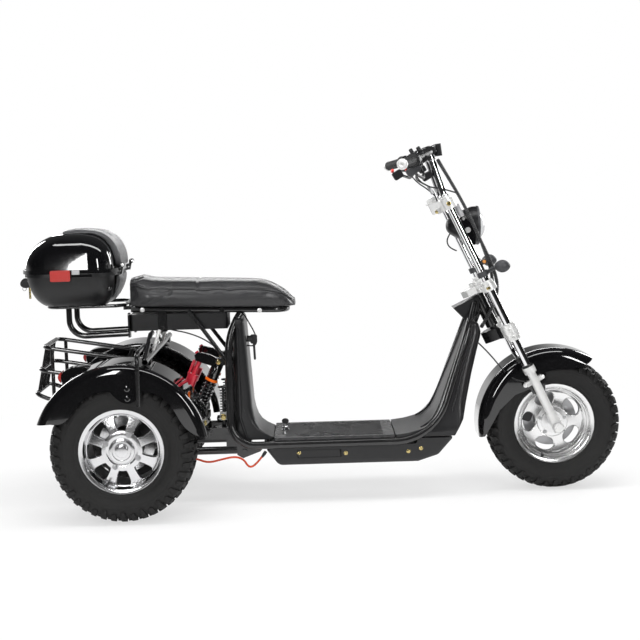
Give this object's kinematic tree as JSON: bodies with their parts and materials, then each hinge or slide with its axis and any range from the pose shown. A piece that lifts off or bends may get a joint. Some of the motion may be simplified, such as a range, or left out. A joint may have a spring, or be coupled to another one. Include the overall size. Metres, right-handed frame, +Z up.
{
  "type": "three-wheel mobility scooter",
  "caption": "Electric three-wheel scooter with a long seat, raked fork, step-through floor, rear wire basket, fenders and a lidded top box.",
  "frame": {"origin": "middle of the bounding box at the floor, under the vehicle", "axes": "+X forward, +Y to the rider's left, +Z up"},
  "size_m": [2.096, 0.851, 1.2169],
  "materials": {
    "axle_steel": "zinc plated",
    "bare_aluminium": "cast and machined",
    "cable_black": "black sleeve",
    "caliper_black": "cast and painted",
    "case_plastic": "moulded black",
    "chrome": "bright chrome",
    "clear_lens": "clear headlight lens",
    "cover_plastic": "grained satin black",
    "disc_steel": "ground stainless disc",
    "frame_paint": "satin black enamel",
    "gloss_black": "high gloss black",
    "grip_rubber": "ribbed",
    "red_anodised": "red anodised",
    "red_cable": "red insulated cable",
    "red_lens": "red reflector",
    "rim_machined": "machined faces with black windows",
    "rim_polished": "polished alloy",
    "seat_vinyl": "black upholstery vinyl, stitched channels",
    "shock_metal": "black and silver shock bodies",
    "spring_black": "powder coated spring steel",
    "tyre_black": "knobbed tread"
  },
  "bodies": {
    "frame": {"main_frame": "frame_paint", "seat_frame": "frame_paint", "belly_pan": "cover_plastic", "battery": "case_plastic", "post_cover": "cover_plastic", "column_cover": "cover_plastic", "seat_cushion": "seat_vinyl", "seat_box": "case_plastic", "seat_box_straps": "frame_paint", "swing_arm": "frame_paint", "rear_axle": "axle_steel", "fender_rear_left": "gloss_black", "fender_rear_right": "gloss_black", "box_carrier": "frame_paint", "box_base": "cover_plastic", "rear_rack": "frame_paint", "shocks": "shock_metal", "rear_springs": "spring_black", "box_pad_low": "seat_vinyl", "box_lock": "chrome", "tail_lamps": "gloss_black", "red_lenses": "red_lens", "calipers_rear": "caliper_black", "post_lock": "chrome", "controller": "case_plastic", "power_cable": "red_cable", "hinge_fixed": "chrome", "shock_reservoirs": "red_anodised"},
    "steering": {"fork_yokes": "bare_aluminium", "fork_tubes": "chrome", "fork_sliders": "bare_aluminium", "front_axle": "axle_steel", "front_fender": "gloss_black", "handlebar": "frame_paint", "grips": "grip_rubber", "display": "case_plastic", "headlight": "bare_aluminium", "headlight_lens": "clear_lens", "headlight_bracket": "frame_paint", "indicators": "case_plastic", "caliper_front": "caliper_black", "levers": "bare_aluminium", "switches": "case_plastic", "bar_harness": "cable_black"},
    "front_wheel": {"tyre_front": "tyre_black", "rim_front": "rim_polished", "disc_front": "disc_steel"},
    "rear_wheel_left": {"tyre_rear_left": "tyre_black", "rim_rear_left": "rim_machined", "disc_rear_left": "disc_steel"},
    "rear_wheel_right": {"tyre_rear_right": "tyre_black", "rim_rear_right": "rim_machined", "disc_rear_right": "disc_steel"},
    "trunk_lid": {"box_lid": "gloss_black", "box_pad": "seat_vinyl", "hinge_moving": "chrome"},
    "floor_lid": {"bay_lid": "cover_plastic", "bay_lock": "case_plastic"}
  },
  "joints": [
    {"name": "steering_turn", "type": "hinge", "parent": "frame", "child": "steering", "pos_m": [0.77856, 0, 0.21894], "axis": [-0.4226, 0, 0.9063], "range_deg": [-35, 35], "deforming": ["bar_harness"]},
    {"name": "front_wheel_spin", "type": "hinge", "parent": "steering", "child": "front_wheel", "pos_m": [0.813, 0, 0.235], "axis": [0, 1, 0], "continuous": true},
    {"name": "rear_wheel_left_spin", "type": "hinge", "parent": "frame", "child": "rear_wheel_left", "pos_m": [-0.655, 0.293, 0.242], "axis": [0, 1, 0], "continuous": true},
    {"name": "rear_wheel_right_spin", "type": "hinge", "parent": "frame", "child": "rear_wheel_right", "pos_m": [-0.655, -0.293, 0.242], "axis": [0, 1, 0], "continuous": true},
    {"name": "box_lid_open", "type": "hinge", "parent": "frame", "child": "trunk_lid", "pos_m": [-0.66, 0, 0.836], "axis": [0, 1, 0], "range_deg": [0, 80]},
    {"name": "floor_lid_open", "type": "hinge", "parent": "frame", "child": "floor_lid", "pos_m": [0.251, 0, 0.229], "axis": [0, 1, 0], "range_deg": [0, 70]}
  ]
}
